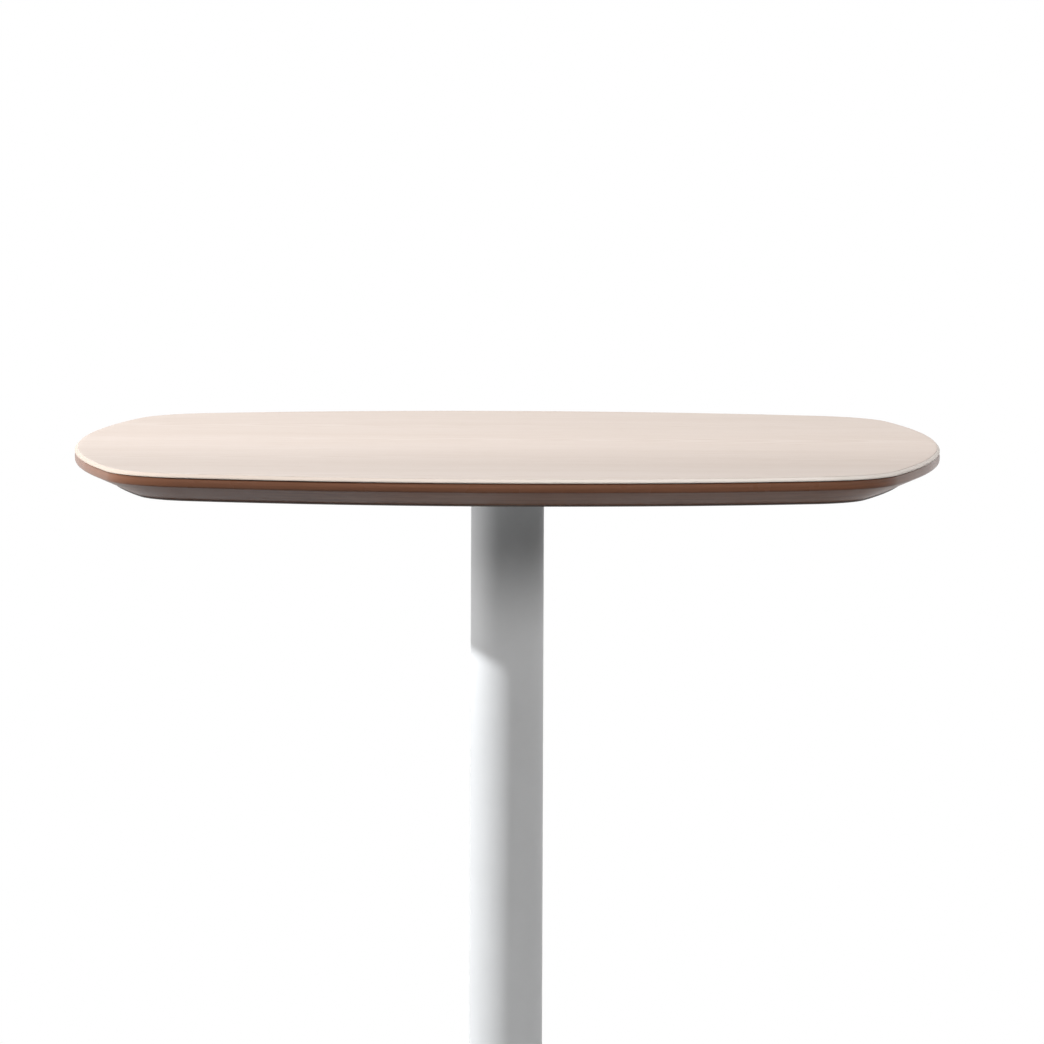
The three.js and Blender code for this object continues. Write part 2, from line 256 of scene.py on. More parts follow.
def makeVeneer(corner):  # corner is the upper right back one of the top
    look = veneerLook
    material, tree, shader, coords = newMaterial("paleVeneer", Specular_IOR_Level=look["specular"])
    placeX, placeY, placeZ = splitAxes(tree, coords)
    across = mathNode(tree, "DIVIDE", placeY, look["leafWidth"])
    across = mathNode(tree, "ADD", across, look["leafShift"])
    inLeaf = mathNode(tree, "SUBTRACT", mathNode(tree, "FRACT", across), 0.5)
    chance = addNode(tree, "ShaderNodeTexWhiteNoise", noise_dimensions="1D")
    tree.links.new(mathNode(tree, "FLOOR", across), chance.inputs["W"])
    drawn = addNode(tree, "ShaderNodeSeparateColor")
    tree.links.new(chance.outputs["Color"], drawn.inputs[0])
    drawnStart, drawnHeart, drawnTone = drawn.outputs
    # each leaf is cut at its own place beside the heart of the trunk
    wander = noise(tree, stretch(tree, coords, look["wanderStretch"]), detail=3.0)
    wobble = times(tree, mathNode(tree, "SUBTRACT", wander, 0.5), look["wobble"])
    along = addUp(tree, placeX, remap(tree, drawnStart, 0, 1, -look["startShift"], look["startShift"]))
    offHeart = addUp(tree, times(tree, inLeaf, look["leafWidth"]), wobble,
                     remap(tree, drawnHeart, 0, 1, -look["heartShift"], look["heartShift"]))
    depth = mathNode(tree, "MULTIPLY_ADD", along, look["taper"], look["heartDepth"])
    squared = addUp(tree, mathNode(tree, "POWER", offHeart, 2.0), mathNode(tree, "POWER", depth, 2.0))
    rings = mathNode(tree, "DIVIDE", mathNode(tree, "SQRT", squared), look["ringSpacing"])
    growth = mathNode(tree, "FRACT", rings)
    lateWood = times(tree, remap(tree, growth, *look["lateWoodRise"], smooth=True),
                     remap(tree, growth, *look["lateWoodEnd"], smooth=True))
    fibres = placeGroup(tree, streakGroup, coords, Length=look["fibreLength"],
                        Fineness=look["fibreFineness"])
    broad = noise(tree, stretch(tree, coords, look["broadStretch"]), detail=3.0, roughness=0.55)
    tone = addUp(tree, times(tree, lateWood, look["lateWoodTone"]),
                 times(tree, fibres["Streak"], look["fibreTone"]),
                 remap(tree, broad, *noiseSpan, *look["broadTone"]),
                 remap(tree, drawnTone, 0, 1, *look["leafTone"]))
    color = mixColors(tree, tone, look["pale"], look["tan"])
    poreShare = mathNode(tree, "MULTIPLY_ADD", lateWood, look["latePoreShare"], look["poreShare"])
    color = mixColors(tree, times(tree, fibres["Dash"], poreShare), color, look["pore"])
    # painted shade: the wood is darkened towards the front of the top
    paintedShadeMix = remap(tree, placeY, look["frontPaintedShadeFrom"], look["frontPaintedShadeTo"], 0, look["frontPaintedShade"], smooth=True)
    color = mixColors(tree, paintedShadeMix, color, look["shade"])
    # the slanted lip shows the wood's paler cut edge, made paler still as a painted highlight, with painted
    # shade growing towards its left end
    lipFrom, lipFull = look["lipStart"]
    below = remap(tree, placeZ, corner.z - lipFrom, corner.z - lipFull, smooth=True)
    rightEnd, leftEnd = look["lipSpan"]
    towardsLipShade = remap(tree, placeX, corner.x * rightEnd, corner.x * leftEnd, smooth=True)
    lipPaintedLight = mixColors(tree, towardsLipShade, look["lipWithPaintedHighlight"], look["lipEndPaintedShade"])
    color = mixColors(tree, times(tree, below, look["lipShare"]), color, lipPaintedLight)
    tree.links.new(color, shader.inputs["Base Color"])
    tree.links.new(remap(tree, fibres["Streak"], 0, 1, *look["roughness"]), shader.inputs["Roughness"])
    relief = mathNode(tree, "SUBTRACT", times(tree, fibres["Streak"], look["fibreRelief"]), fibres["Dash"])
    addBump(tree, shader, relief, look["bump"], look["bumpDepth"])
    return material


# edge: brown lacquered board, with painted shade that deepens it towards the left, and paler again at the
# left end, back to the plain brown and a little beyond as a painted highlight
edgeLook = {
    "brown": (0.250, 0.104, 0.054, 1.0),
    "deep": (0.155, 0.064, 0.034, 1.0),
    # a paler brown for the bevel as painted light, where the same lacquer faces down
    "undercut": (0.315, 0.150, 0.088, 1.0),
    "undercutStart": (0.0004, 0.0012),  # below the lower arris
    "layerStretch": (5.0, 5.0, 420.0),
    "fineStretch": (60.0, 60.0, 900.0),
    "toothSize": 700.0,
    "patch": 7.0,
    "layerTone": (0.0, 0.55),  # what each effect adds to the tone, from brown to deep
    "fineTone": (-0.08, 0.2),
    "driftTone": 0.15,
    "leftPaintedShadeFrom": (0.0, -0.28),  # painted shade, along X
    "leftPaintedShade": 0.75,
    "leftEndHighlightFrom": (-0.345, -0.425),
    "leftEndPaintedHighlight": -1.1,
    "edgeRoughness": 0.24,
    "undercutRoughness": 0.28,
    "driftRoughness": 0.09,
    "specular": 0.17,
    "bump": 0.05,
    "bumpDepth": 0.00015,
}


def makeEdgeLacquer(arrisZ):
    look = edgeLook
    material, tree, shader, coords = newMaterial("brownEdgeLacquer", Specular_IOR_Level=look["specular"])
    place = splitAxes(tree, coords)
    layers = noise(tree, stretch(tree, coords, look["layerStretch"]), detail=4.0, roughness=0.6)
    fine = noise(tree, stretch(tree, coords, look["fineStretch"]), detail=2.0)
    grit = placeGroup(tree, gritGroup, coords, Size=look["toothSize"], Patch=look["patch"])
    tone = addUp(tree, remap(tree, layers, *noiseSpan, *look["layerTone"]),
                 remap(tree, fine, *noiseSpan, *look["fineTone"]))
    tone = mathNode(tree, "MULTIPLY_ADD", grit["Drift"], look["driftTone"], tone)
    # painted shade deepens the brown towards the left; a painted highlight pales it again at the left end
    tone = addUp(tree, tone,
                 remap(tree, place["X"], *look["leftPaintedShadeFrom"], 0.0, look["leftPaintedShade"], smooth=True),
                 remap(tree, place["X"], *look["leftEndHighlightFrom"], 0.0, look["leftEndPaintedHighlight"], smooth=True))
    color = mixColors(tree, tone, look["brown"], look["deep"])
    underFrom, underFull = look["undercutStart"]
    under = remap(tree, place["Z"], arrisZ - underFrom, arrisZ - underFull, smooth=True)
    # painted light: the bevel below the lower arris takes the paler brown
    color = mixColors(tree, under, color, mixColors(tree, tone, look["undercut"], color))
    tree.links.new(color, shader.inputs["Base Color"])
    roughness = remap(tree, under, 0, 1, look["edgeRoughness"], look["undercutRoughness"])
    roughness = mathNode(tree, "MULTIPLY_ADD", grit["Drift"], look["driftRoughness"], roughness)
    tree.links.new(roughness, shader.inputs["Roughness"])
    addBump(tree, shader, addUp(tree, grit["Height"], fine), look["bump"], look["bumpDepth"])
    return material


# coats: laminate, paint, nylon and primed iron
coatDetail = {"patch": 8.0, "speckShare": 0.35, "driftRoughness": 0.07, "bump": 0.25}
coatLooks = {
    "darkBackingLaminate": {
        "light": (0.085, 0.064, 0.055, 1.0), "shade": (0.110, 0.086, 0.075, 1.0),
        "roughness": 0.48, "toothSize": 1100.0, "toothDepth": 0.00012,
    },
    "whitePowderCoat": {
        "light": (0.800, 0.804, 0.808, 1.0), "shade": (0.765, 0.769, 0.773, 1.0),
        "roughness": 0.48, "toothSize": 620.0, "toothDepth": 0.00022,
    },
    "whiteNylon": {
        "light": (0.73, 0.73, 0.72, 1.0), "shade": (0.68, 0.68, 0.665, 1.0),
        "roughness": 0.42, "toothSize": 1500.0, "toothDepth": 0.00008,
    },
    "blackNylon": {
        "light": (0.018, 0.019, 0.021, 1.0), "shade": (0.030, 0.031, 0.033, 1.0),
        "roughness": 0.46, "toothSize": 1300.0, "toothDepth": 0.00012,
    },
    "castIron": {
        "light": (0.040, 0.042, 0.046, 1.0), "shade": (0.022, 0.023, 0.026, 1.0),
        "roughness": 0.58, "toothSize": 380.0, "toothDepth": 0.0005,
    },
}


def makeCoat(name, look):
    detail = coatDetail
    material, tree, shader, coords = newMaterial(name)
    grit = placeGroup(tree, gritGroup, coords, Size=look["toothSize"], Patch=detail["patch"])
    color = mixColors(tree, grit["Drift"], look["light"], look["shade"])
    color = mixColors(tree, times(tree, grit["Speck"], detail["speckShare"]), color, look["shade"])
    tree.links.new(color, shader.inputs["Base Color"])
    dullest = look["roughness"] + detail["driftRoughness"]
    tree.links.new(remap(tree, grit["Drift"], 0, 1, look["roughness"], dullest), shader.inputs["Roughness"])
    addBump(tree, shader, grit["Height"], detail["bump"], look["toothDepth"])
    return material


# bare metals, with drawn lines along X
metalDetail = {
    "lineLength": 120.0, "lineFineness": 2600.0, "lineRoughness": 0.12,
    "toothSize": 1800.0, "patch": 60.0, "driftRoughness": 0.08,
    "bump": 0.1, "bumpDepth": 0.00005,
}
metalLooks = {
    "zincSteel": {"bright": (0.62, 0.63, 0.65, 1.0), "dull": (0.47, 0.48, 0.50, 1.0), "roughness": 0.27},
    "plainBrass": {"bright": (0.72, 0.51, 0.20, 1.0), "dull": (0.58, 0.39, 0.14, 1.0), "roughness": 0.26},
}


def makeMetal(name, look):
    detail = metalDetail
    material, tree, shader, coords = newMaterial(name, Metallic=1.0)
    lines = placeGroup(tree, streakGroup, coords, Length=detail["lineLength"],
                       Fineness=detail["lineFineness"])
    grit = placeGroup(tree, gritGroup, coords, Size=detail["toothSize"], Patch=detail["patch"])
    color = mixColors(tree, grit["Drift"], look["bright"], look["dull"])
    tree.links.new(color, shader.inputs["Base Color"])
    wear = mathNode(tree, "MULTIPLY_ADD", lines["Streak"], detail["lineRoughness"], look["roughness"])
    wear = mathNode(tree, "MULTIPLY_ADD", grit["Drift"], detail["driftRoughness"], wear)
    tree.links.new(wear, shader.inputs["Roughness"])
    addBump(tree, shader, lines["Streak"], detail["bump"], detail["bumpDepth"])
    return material


finishes = {name: makeCoat(name, look) for name, look in coatLooks.items()}
finishes.update({name: makeMetal(name, look) for name, look in metalLooks.items()})
print("coats and metals ready")


# modelling helpers
mergeDistance = 1e-6
ringTolerance = 1e-5
cutTolerance = 1e-7
fineRound = 0.001  # smaller roundings get fewer steps
fineRoundSteps = 2
wideRoundSteps = 5


def finishPiece(name, bm, material, body, nodes, sharpAngle=32):
    bmesh.ops.remove_doubles(bm, verts=bm.verts, dist=mergeDistance)
    bmesh.ops.recalc_face_normals(bm, faces=bm.faces)
    mesh = bpy.data.meshes.new(name)
    bm.to_mesh(mesh)
    bm.free()
    mesh.shade_smooth()
    mesh.set_sharp_from_angle(angle=math.radians(sharpAngle))
    mesh.materials.append(material)
    piece = bpy.data.objects.new(name, mesh)
    scene.collection.objects.link(piece)
    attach(piece, body)
    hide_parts(*nodes)


def roundEdges(bm, edges, size, segments):
    bmesh.ops.bevel(bm, geom=edges, offset=size, offset_type="OFFSET", affect="EDGES", segments=segments,
                    profile=0.5, material=-1, clamp_overlap=True)


def onRing(vert, radius, height):
    offRadius = math.hypot(vert.co.x, vert.co.y) - radius
    return abs(offRadius) < ringTolerance and abs(vert.co.z - height) < ringTolerance


def ringEdges(bm, radius, height):
    return [e for e in bm.edges if all(onRing(v, radius, height) for v in e.verts)]


def turned(bm, corners, steps, closed=False):  # corners are (radius, height, rounding)
    known = set(bm.verts)
    verts = [bm.verts.new((radius, 0, height)) for radius, height, rounding in corners]
    pairs = list(zip(verts, verts[1:])) + ([(verts[-1], verts[0])] if closed else [])
    edges = [bm.edges.new(pair) for pair in pairs]
    bmesh.ops.spin(bm, geom=verts + edges, cent=(0, 0, 0), axis=(0, 0, 1), angle=math.tau, steps=steps,
                   use_merge=True)
    fresh = [v for v in bm.verts if v not in known]
    bmesh.ops.remove_doubles(bm, verts=fresh, dist=mergeDistance)
    bmesh.ops.recalc_face_normals(bm, faces=bm.faces)
    for radius, height, rounding in corners:
        if rounding:
            segments = fineRoundSteps if rounding < fineRound else wideRoundSteps
            roundEdges(bm, ringEdges(bm, radius, height), rounding, segments)
    return [v for v in bm.verts if v not in known]


def moveVerts(bm, verts, place):
    bmesh.ops.translate(bm, verts=verts, vec=place)


def moveToNode(bm, low, high):  # from the origin to the middle of a node's plan
    moveVerts(bm, bm.verts, ((low.x + high.x) / 2, (low.y + high.y) / 2, 0))


# table top: bowed sides that run into round corners
topLow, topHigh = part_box("top_veneer")
topPlan = {
    "halfWidth": topHigh.x,
    "sideRadius": 1.130,
    "cornerRadius": 0.112,
    "sideSteps": 40,
    "cornerSteps": 24,
    "roundSteps": 4,
    "joinDistance": 5e-5,
}


def outlineRing(bm, inset, height):
    plan = topPlan
    known = set(bm.edges)
    reach = plan["sideRadius"] - plan["halfWidth"]
    inner = plan["sideRadius"] - plan["cornerRadius"]
    corner = (math.sqrt(2 * inner ** 2 - reach ** 2) - reach) / 2
    swing = math.atan2(corner, corner + reach)
    radius = plan["sideRadius"] - inset
    bend = plan["cornerRadius"] - inset
    sideStart = Vector((radius * math.cos(swing) - reach, -radius * math.sin(swing), height))
    cornerStart = Vector((corner + bend * math.cos(swing), corner + bend * math.sin(swing), height))
    cornerCentre = Vector((corner, corner, height))
    sideArc = (sideStart, Vector((-reach, 0, height)), 2 * swing, plan["sideSteps"])
    cornerArc = (cornerStart, cornerCentre, math.pi / 2 - 2 * swing, plan["cornerSteps"])
    for quarter in range(4):
        turn = Matrix.Rotation(quarter * math.pi / 2, 3, "Z")
        for start, centre, angle, steps in (sideArc, cornerArc):
            tip = bm.verts.new(turn @ start)
            bmesh.ops.spin(bm, geom=[tip], cent=turn @ centre, axis=(0, 0, 1), angle=angle, steps=steps)
    loose = dict.fromkeys(v for e in bm.edges if e not in known for v in e.verts)
    bmesh.ops.remove_doubles(bm, verts=list(loose), dist=plan["joinDistance"])
    return [e for e in bm.edges if e not in known]


def boardFrom(bm, corners, margin):  # corners are (inset, height, rounding), from one face to the other
    rings = [outlineRing(bm, inset, height) for inset, height, rounding in corners]
    for first, second in zip(rings, rings[1:]):
        bmesh.ops.bridge_loops(bm, edges=first + second)
    caps = [bmesh.ops.edgeloop_fill(bm, edges=ring)["faces"][0] for ring in (rings[0], rings[-1])]
    bmesh.ops.recalc_face_normals(bm, faces=bm.faces)
    bmesh.ops.inset_individual(bm, faces=caps, thickness=margin)
    for ring, (inset, height, rounding) in zip(rings, corners):
        if rounding:
            roundEdges(bm, ring, rounding, topPlan["roundSteps"])


topEdge = {
    "lipInset": 0.0028,    # slanted upper edge of the veneer
    "lipDrop": 0.0030,
    "arris": 0.0004,
    "seam": 0.0002,
    "veneerDrop": 0.0009,  # how far the visible seam lies under the modelled one
    "coreDrop": 0.0013,
    "groove": 0.0012,      # shadow line between veneer and core
    "noseDrop": 0.0024,    # rounded top of the core's edge
    "noseShare": 0.55,
    "belly": 0.0002,
    "edgeDepth": 0.0137,   # from the surface to the lower arris
    "lowerArris": 0.0014,
    "bevelInset": 0.0356,
    "bevelSharp": 20,      # degrees, so that the bevel shades flat to its lower edge
    "flatMargin": 0.006,   # keeps the large flat faces flat in the shading
}


def makeTop():
    edge = topEdge
    margin = edge["flatMargin"]
    seamZ = topLow.z - edge["veneerDrop"]
    bm = bmesh.new()
    boardFrom(bm, [
        (edge["seam"], seamZ, 0),
        (0, seamZ + edge["seam"], 0),
        (0, topHigh.z - edge["lipDrop"], edge["arris"]),
        (edge["lipInset"], topHigh.z, edge["arris"]),
    ], margin)
    veneer = makeVeneer(topHigh)
    finishPiece("tableVeneer", bm, veneer, "table", ["top_veneer"])

    coreLow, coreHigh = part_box("top_core")
    coreZ = coreHigh.z - edge["coreDrop"]
    arrisZ = topHigh.z - edge["edgeDepth"]
    bm = bmesh.new()
    boardFrom(bm, [
        (edge["groove"], coreZ, edge["arris"]),
        (edge["belly"], coreZ - edge["noseDrop"], edge["noseDrop"] * edge["noseShare"]),
        (0, (coreZ + arrisZ) / 2, 0),
        (edge["belly"], arrisZ, edge["lowerArris"]),
        (edge["bevelInset"], coreLow.z, 0),
    ], margin)
    lacquer = makeEdgeLacquer(arrisZ)
    finishPiece("tableCore", bm, lacquer, "table", ["top_core"], edge["bevelSharp"])

    backLow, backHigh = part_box("top_backing")
    bm = bmesh.new()
    boardFrom(bm, [
        (edge["bevelInset"], backHigh.z, 0),
        (edge["bevelInset"], backLow.z, edge["arris"]),
    ], margin)
    laminate = finishes["darkBackingLaminate"]
    finishPiece("tableBacking", bm, laminate, "table", ["top_backing"])
    print("table top made")


makeTop()


# column and the collar at its foot
columnSizes = {"wall": 0.002, "endRound": 0.0004, "steps": 128}
collarSizes = {"gap": 0.0003, "footRound": 0.0004, "shoulder": 0.0062, "mouthRound": 0.0006}


def makeColumn():
    size = columnSizes
    low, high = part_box("column_tube")
    outer = high.x
    inner = outer - size["wall"]
    bm = bmesh.new()
    turned(bm, [
        (inner, low.z, 0),
        (outer, low.z, size["endRound"]),
        (outer, high.z, size["endRound"]),
        (inner, high.z, 0),
    ], size["steps"], closed=True)
    finishPiece("columnTube", bm, finishes["whitePowderCoat"], "table", ["column_tube"])

    collar = collarSizes
    low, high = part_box("foot_collar")
    mouth = outer + collar["gap"]
    bm = bmesh.new()
    turned(bm, [
        (mouth, low.z, 0),
        (high.x, low.z, collar["footRound"]),
        (high.x, high.z, collar["shoulder"]),
        (mouth, high.z, collar["mouthRound"]),
    ], size["steps"], closed=True)
    finishPiece("footCollar", bm, finishes["whiteNylon"], "table", ["foot_collar"])
    print("column made")


makeColumn()


# base: spun dish with a rolled rim, and the bosses under it
baseSizes = {
    "wall": 0.0035,
    "slope": 0.085,
    "rimFillet": 0.009,
    "skirtRound": 0.0012,
    "flatRadius": 0.054,
    "flatBlend": 0.010,
    "bore": 0.0063,
    "steps": 160,
    "bossRadius": 0.010,
    "bossCircle": 0.150,
    "bossGap": 0.0003,     # above the ballast ring
    "bossRound": 0.0008,
    "bossSteps": 32,
}


def makeBase():
    size = baseSizes
    low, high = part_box("base_dish")
    wall = size["wall"]
    rimZ = high.z - size["slope"] * (high.x - size["flatRadius"])
    bm = bmesh.new()
    turned(bm, [
        (size["bore"], high.z, 0),
        (size["flatRadius"], high.z, size["flatBlend"]),
        (high.x, rimZ, size["rimFillet"]),
        (high.x, low.z, size["skirtRound"]),
        (high.x - wall, low.z, size["skirtRound"]),
        (high.x - wall, rimZ - wall, size["rimFillet"] - wall),
        (size["flatRadius"], high.z - wall, size["flatBlend"]),
        (size["bore"], high.z - wall, 0),
    ], size["steps"], closed=True)
    bossTop = high.z - size["slope"] * (size["bossCircle"] - size["flatRadius"]) - wall / 2
    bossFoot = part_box("ballast_ring")[1].z + size["bossGap"]
    for quarter in range(4):
        boss = turned(bm, [
            (0, bossTop, 0),
            (size["bossRadius"], bossTop, 0),
            (size["bossRadius"], bossFoot, size["bossRound"]),
            (0, bossFoot, 0),
        ], size["bossSteps"])
        angle = quarter * math.pi / 2
        moveVerts(bm, boss, Vector((math.cos(angle), math.sin(angle), 0)) * size["bossCircle"])
    finishPiece("baseDish", bm, finishes["whitePowderCoat"], "table", ["base_dish"])
    print("base made")


makeBase()


# mounting plate with its welded hub, and the screws that hold it
plateSizes = {
    "thickness": 0.005,
    "corner": 0.045,
    "cornerSteps": 16,
    "arris": 0.0007,
    "arrisSteps": 3,
    "weld": 0.006,
    "weldShare": 0.35,     # height of the hollow weld at its middle
    "weldRound": 0.0006,
    "hubRadius": 0.046,
    "hubHeight": 0.024,
    "hubRound": 0.0012,
    "spigotRadius": 0.0357,
    "spigotRound": 0.001,
    "steps": 96,
}


def makePlate():
    size = plateSizes
    low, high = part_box("mounting_plate")
    plateZ = high.z - size["thickness"]
    bm = bmesh.new()
    bmesh.ops.create_cube(bm, size=1)
    bmesh.ops.scale(bm, vec=(2 * high.x, 2 * high.y, size["thickness"]), verts=bm.verts)
    moveVerts(bm, bm.verts, (0, 0, plateZ + size["thickness"] / 2))
    upright = [e for e in bm.edges if abs(e.verts[0].co.z - e.verts[1].co.z) > size["thickness"] / 2]
    roundEdges(bm, upright, size["corner"], size["cornerSteps"])
    rims = [e for e in bm.edges if abs(e.verts[0].co.z - e.verts[1].co.z) < mergeDistance]
    roundEdges(bm, rims, size["arris"], size["arrisSteps"])
    hub, weld = size["hubRadius"], size["weld"]
    hollow = weld * size["weldShare"]
    hubZ = high.z - size["hubHeight"]
    turned(bm, [
        (0, plateZ, 0),
        (hub + weld, plateZ, 0),
        (hub + hollow, plateZ - hollow, size["weldRound"]),
        (hub, plateZ - weld, 0),
        (hub, hubZ, size["hubRound"]),
        (size["spigotRadius"], hubZ, 0),
        (size["spigotRadius"], low.z, size["spigotRound"]),
        (0, low.z, 0),
    ], size["steps"])
    paint = finishes["whitePowderCoat"]
    finishPiece("mountingPlate", bm, paint, "table", ["mounting_plate"])


screwSizes = {
    "headRadius": 0.0056,
    "headHeight": 0.0033,
    "crownShare": 0.72,    # flat of the button head, of its radius
    "crownRound": 0.0011,
    "sideShare": 0.62,     # where the head's upright side starts, of its height
    "sideRound": 0.0009,
    "seatRound": 0.0002,
    "shank": 0.003,
    "tip": 0.0015,
    "socketFlats": 0.004,
    "socketDepth": 0.002,
    "mouthShare": 0.66,    # round mouth of the socket, of its flats
    "steps": 40,
}


def hexSocket(bm, rim, flats, height, depth):  # opens a six-sided socket inside a round rim
    known = set(bm.edges)
    made = bmesh.ops.create_circle(bm, cap_ends=False, radius=flats / math.sqrt(3), segments=6)
    moveVerts(bm, made["verts"], (0, 0, height))
    mouth = [e for e in bm.edges if e not in known]
    bmesh.ops.bridge_loops(bm, edges=rim + mouth)
    walls = bmesh.ops.extrude_edge_only(bm, edges=mouth)["geom"]
    moveVerts(bm, [v for v in walls if isinstance(v, bmesh.types.BMVert)], (0, 0, depth))
    floorEdges = [e for e in walls if isinstance(e, bmesh.types.BMEdge) and len(e.link_faces) == 1]
    bmesh.ops.edgeloop_fill(bm, edges=floorEdges)


def makePlateScrews():
    size = screwSizes
    head, shank = size["headRadius"], size["shank"]
    for number in range(1, 9):
        node = f"plate_screw_{number}"
        low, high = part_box(node)
        seatZ = low.z + size["headHeight"]
        mouth = size["socketFlats"] * size["mouthShare"]
        bm = bmesh.new()
        turned(bm, [
            (mouth, low.z, 0),
            (head * size["crownShare"], low.z, size["crownRound"]),
            (head, low.z + size["headHeight"] * size["sideShare"], size["sideRound"]),
            (head, seatZ, size["seatRound"]),
            (shank, seatZ, 0),
            (shank, high.z - size["tip"], 0),
            (shank / 2, high.z, 0),
            (0, high.z, 0),
        ], size["steps"])
        hexSocket(bm, ringEdges(bm, mouth, low.z), size["socketFlats"], low.z, size["socketDepth"])
        moveToNode(bm, low, high)
        finishPiece(f"plateScrew{number}", bm, finishes["zincSteel"], "table", [node])
    print("mounting plate and screws made")


makePlate()
makePlateScrews()


# levelling feet: moulded pad, and stem with a hexagon and a screw thread
padSizes = {
    "footRound": 0.0007,
    "rimHeight": 0.0026,
    "rimRound": 0.0008,
    "crown": 0.0095,
    "crownRound": 0.0016,
    "mouth": 0.0062,
    "mouthRound": 0.0003,
    "socket": 0.008,
    "floor": 0.0014,
    "roof": 0.0039,
    "steps": 64,
}


def makePad(number):
    size = padSizes
    node = f"glide_pad_{number}"
    low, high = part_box(node)
    radius = (high.x - low.x) / 2
    bm = bmesh.new()
    turned(bm, [
        (0, low.z, 0),
        (radius, low.z, size["footRound"]),
        (radius, size["rimHeight"], size["rimRound"]),
        (size["crown"], high.z, size["crownRound"]),
        (size["mouth"], high.z, size["mouthRound"]),
        (size["mouth"], size["roof"], 0),
        (size["socket"], size["roof"], 0),
        (size["socket"], size["floor"], 0),
        (0, size["floor"], 0),
    ], size["steps"])
    moveToNode(bm, low, high)
    finishPiece(f"glidePad{number}", bm, finishes["blackNylon"], f"pad_{number}", [node])


stemSizes = {
    "foot": 0.0077,
    "footLow": 0.0017,
    "footHigh": 0.0036,
    "footRound": 0.0004,
    "neck": 0.0058,
    "steps": 40,
    "hexFlats": 0.014,
    "hexLow": 0.0053,
    "hexHigh": 0.0093,
    "hexRound": 0.0004,
    "hexRoundSteps": 2,
    "major": 0.0047,
    "minor": 0.0039,
    "pitch": 0.0015,
    "crest": (0.44, 0.56),  # flat of the thread, in pitches
    "threadSteps": 28,
    "headroom": 0.0006,     # keeps the end of the thread clear of the dish
}


def screwThread(bm, low, high):  # right-handed, cut off flat at both heights
    size = stemSizes
    known = set(bm.verts)
    pitch, major, minor, around = size["pitch"], size["major"], size["minor"], size["threadSteps"]
    turns = math.ceil((high - low) / pitch) + 2
    start = low - pitch
    crestLow, crestHigh = (start + pitch * share for share in size["crest"])
    ridge = [(minor, start), (major, crestLow), (major, crestHigh), (minor, start + pitch)]
    verts = [bm.verts.new((radius, 0, height)) for radius, height in ridge]
    edges = [bm.edges.new(pair) for pair in zip(verts, verts[1:])]
    bmesh.ops.spin(bm, geom=verts + edges, cent=(0, 0, 0), axis=(0, 0, 1), dvec=(0, 0, pitch / around),
                   angle=math.tau * turns, steps=around * turns)
    fresh = [v for v in bm.verts if v not in known]
    bmesh.ops.remove_doubles(bm, verts=fresh, dist=mergeDistance)
    for height, side in ((low, -1), (high, 1)):
        mine = [v for v in bm.verts if v not in known]
        edges = dict.fromkeys(e for v in mine for e in v.link_edges)
        faces = dict.fromkeys(f for v in mine for f in v.link_faces)
        cut = bmesh.ops.bisect_plane(bm, geom=[*mine, *edges, *faces], dist=cutTolerance,
                                     plane_co=(0, 0, height), plane_no=(0, 0, side), clear_outer=True)
        rim = [e for e in cut["geom_cut"] if isinstance(e, bmesh.types.BMEdge)]
        bmesh.ops.edgeloop_fill(bm, edges=rim)


def makeStem(number):
    size = stemSizes
    node = f"glide_stem_{number}"
    low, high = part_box(node)
    bm = bmesh.new()
    turned(bm, [
        (0, size["footLow"], 0),
        (size["foot"], size["footLow"], size["footRound"]),
        (size["foot"], size["footHigh"], size["footRound"]),
        (size["neck"], size["footHigh"], 0),
        (size["neck"], size["hexLow"], 0),
        (0, size["hexLow"], 0),
    ], size["steps"])
    known = set(bm.verts)
    hexRadius = size["hexFlats"] / math.sqrt(3)
    bmesh.ops.create_cone(bm, cap_ends=True, segments=6, radius1=hexRadius, radius2=hexRadius,
                          depth=size["hexHigh"] - size["hexLow"])
    hexVerts = [v for v in bm.verts if v not in known]
    moveVerts(bm, hexVerts, (0, 0, (size["hexLow"] + size["hexHigh"]) / 2))
    hexEdges = dict.fromkeys(e for v in hexVerts for e in v.link_edges)
    roundEdges(bm, list(hexEdges), size["hexRound"], size["hexRoundSteps"])
    screwThread(bm, size["hexHigh"], high.z - size["headroom"])
    moveToNode(bm, low, high)
    finishPiece(f"glideStem{number}", bm, finishes["zincSteel"], f"stem_{number}", [node])


for number in range(1, 5):
    makePad(number)
    makeStem(number)
print("levelling feet made")


# CAD nodes whose own shape stays
keptNodes = {
    "zincSteel": ["tie_rod", "upper_nut", "upper_washer", "lower_nut", "lower_washer", "column_plug"]
                 + [f"ballast_screw_{number}" for number in range(1, 5)],
    "plainBrass": [f"threaded_insert_{number}" for number in range(1, 9)],
    "castIron": ["ballast_ring"],
}
for finishName, nodes in keptNodes.items():
    for node in nodes:
        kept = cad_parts[node]
        kept.data.materials.clear()
        kept.data.materials.append(finishes[finishName])
print("kept nodes dressed")


# floor and world: pale, white to the camera far out
studio = {
    "floorRadius": 2.9,
    "floorSegments": 96,
    "fadeFrom": 1.5,
    "fadeTo": 2.813,
    "floorBounce": 0.17,
    "floorSeen": 0.86,
    "paperGrain": 60.0,
    "paperShade": 0.985,
    "horizon": 2.57,  # band of light all round, a little above table height
    "overhead": 0.10,
    "underfoot": 0.03,
    "bandFoot": (0.145, 0.215),  # rise of the rays where the band starts and ends
    "bandHead": (0.335, 0.415),
    "glowRadius": 0.32,  # lights the underside of the base, unseen itself
    "glow": 0.55,
}


def seenDirectly(tree):  # camera, mirror and see-through rays
    path = addNode(tree, "ShaderNodeLightPath")
    seen = mathNode(tree, "MAXIMUM", path.outputs["Is Camera Ray"], path.outputs["Is Glossy Ray"])
    return mathNode(tree, "MAXIMUM", seen, path.outputs["Is Transmission Ray"])


